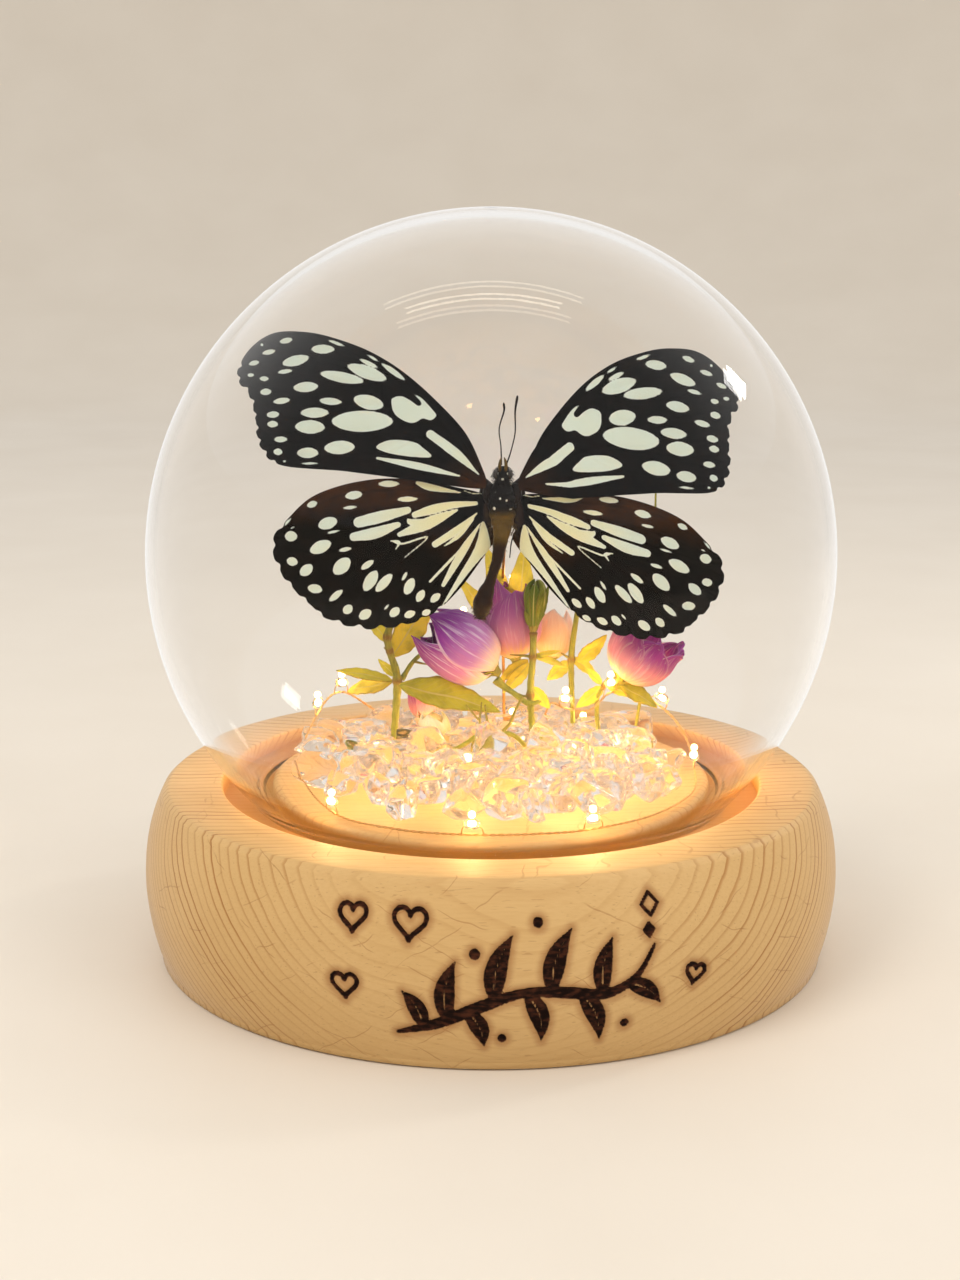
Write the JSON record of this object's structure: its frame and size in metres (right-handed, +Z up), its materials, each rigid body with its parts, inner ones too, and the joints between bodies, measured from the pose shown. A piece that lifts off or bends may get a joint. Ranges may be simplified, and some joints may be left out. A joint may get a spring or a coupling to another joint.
{
  "type": "butterfly in glass dome",
  "caption": "Butterfly with open wings on a wire among dried flowers, lights and clear crystals, under a glass globe on a turned wooden base.",
  "frame": {"origin": "centre of the base's underside, on the table", "axes": "+Z up through the globe's top; the butterfly's back faces -Y, and its right-hand wings as seen from there are at +X"},
  "size_m": [0.1234, 0.1234, 0.1302],
  "materials": {
    "wood": "turned pale softwood, satin",
    "glass": "clear, polished",
    "chitin": "dry, finely haired",
    "wing": "scaled, satin, pale spots",
    "support": "dark, oxidised",
    "stem": "dry stem, matte",
    "leaf": "dry leaf, matte",
    "petal": "dry petal, striped",
    "petal_pale": "dry petal, pale",
    "light_wire": "fine bare wire",
    "light": "lit warm lamp",
    "crystal": "clear chips"
  },
  "bodies": {
    "root": {"antenna_left": "chitin", "antenna_right": "chitin", "bud_green": "leaf", "butterfly_body": "chitin", "crystal_01": "crystal", "crystal_02": "crystal", "crystal_03": "crystal", "crystal_04": "crystal", "crystal_05": "crystal", "crystal_06": "crystal", "crystal_07": "crystal", "crystal_08": "crystal", "crystal_09": "crystal", "crystal_10": "crystal", "crystal_11": "crystal", "crystal_12": "crystal", "crystal_13": "crystal", "crystal_14": "crystal", "crystal_15": "crystal", "crystal_16": "crystal", "crystal_17": "crystal", "crystal_bed": "crystal", "flower_back": "petal", "flower_cream": "petal_pale", "flower_cup": "petal", "flower_front": "petal", "flower_peach": "petal_pale", "flower_pink": "petal", "forewing_left": "wing", "forewing_right": "wing", "glass_globe": "glass", "hindwing_left": "wing", "hindwing_right": "wing", "leaf_broad": "leaf", "leaf_left": "leaf", "leaf_left_back": "leaf", "leaf_left_low": "leaf", "leaf_main": "leaf", "leaf_middle": "leaf", "leaf_right": "leaf", "light_01": "light", "light_02": "light", "light_03": "light", "light_04": "light", "light_05": "light", "light_06": "light", "light_07": "light", "light_08": "light", "light_09": "light", "light_wire": "light_wire", "stem_bud": "stem", "stem_left": "stem", "stem_left_branch": "stem", "stem_low": "stem", "stem_main": "stem", "stem_middle": "stem", "stem_right": "stem", "stem_tall": "stem", "support_wire": "support", "wood_base": "wood"}
  },
  "joints": []
}
